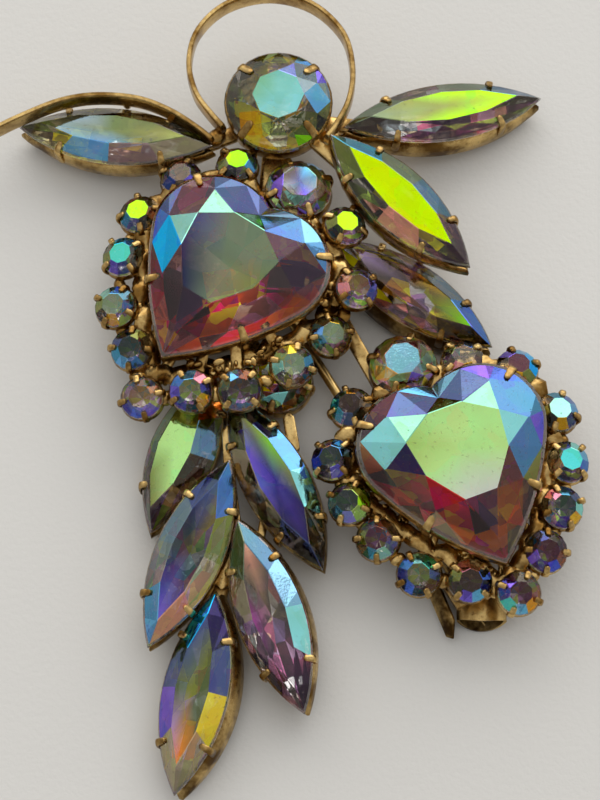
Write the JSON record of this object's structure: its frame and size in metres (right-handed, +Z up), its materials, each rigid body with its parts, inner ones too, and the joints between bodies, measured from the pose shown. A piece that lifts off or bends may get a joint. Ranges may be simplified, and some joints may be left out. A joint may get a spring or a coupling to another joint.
{
  "type": "rhinestone brooch",
  "caption": "Gold-toned brooch of faceted heart stones in halos of small stones, a round stone in a ribbon loop and a spray of navette stones, on a plain pin back.",
  "frame": {"origin": "middle of the brooch's outline, on the surface that it lies on", "axes": "+Z up and out of the stones' faces, +Y towards the ribbon loop, +X towards the right heart"},
  "size_m": [0.0504, 0.0683, 0.009],
  "materials": {
    "antique_gold": "antiqued gold plate",
    "heart_glass": "foiled, iridescent coating, faceted",
    "round_glass": "foiled, iridescent coating, faceted",
    "navette_glass": "foiled, iridescent coating, faceted",
    "small_glass": "foiled, iridescent coating, faceted"
  },
  "bodies": {
    "root": {"heart_setting_left": "antique_gold", "heart_setting_right": "antique_gold", "top_setting": "antique_gold", "spray_setting": "antique_gold", "pin_back": "antique_gold", "heart_stone_left": "heart_glass", "heart_stone_right": "heart_glass", "round_stone": "round_glass", "medium_stone_1": "round_glass", "medium_stone_2": "round_glass", "medium_stone_3": "round_glass", "navette_stone_1": "navette_glass", "navette_stone_2": "navette_glass", "navette_stone_3": "navette_glass", "navette_stone_4": "navette_glass", "navette_stone_5": "navette_glass", "navette_stone_6": "navette_glass", "navette_stone_7": "navette_glass", "navette_stone_8": "navette_glass", "navette_stone_9": "navette_glass", "small_stone_left_1": "small_glass", "small_stone_left_2": "small_glass", "small_stone_left_3": "small_glass", "small_stone_left_4": "small_glass", "small_stone_left_5": "small_glass", "small_stone_left_6": "small_glass", "small_stone_left_7": "small_glass", "small_stone_left_8": "small_glass", "small_stone_left_9": "small_glass", "small_stone_left_10": "small_glass", "small_stone_left_11": "small_glass", "small_stone_left_12": "small_glass", "small_stone_left_13": "small_glass", "small_stone_right_1": "small_glass", "small_stone_right_2": "small_glass", "small_stone_right_3": "small_glass", "small_stone_right_4": "small_glass", "small_stone_right_5": "small_glass", "small_stone_right_6": "small_glass", "small_stone_right_7": "small_glass", "small_stone_right_8": "small_glass", "small_stone_right_9": "small_glass", "small_stone_right_10": "small_glass", "small_stone_right_11": "small_glass", "small_stone_right_12": "small_glass", "small_stone_right_13": "small_glass"}
  },
  "joints": []
}
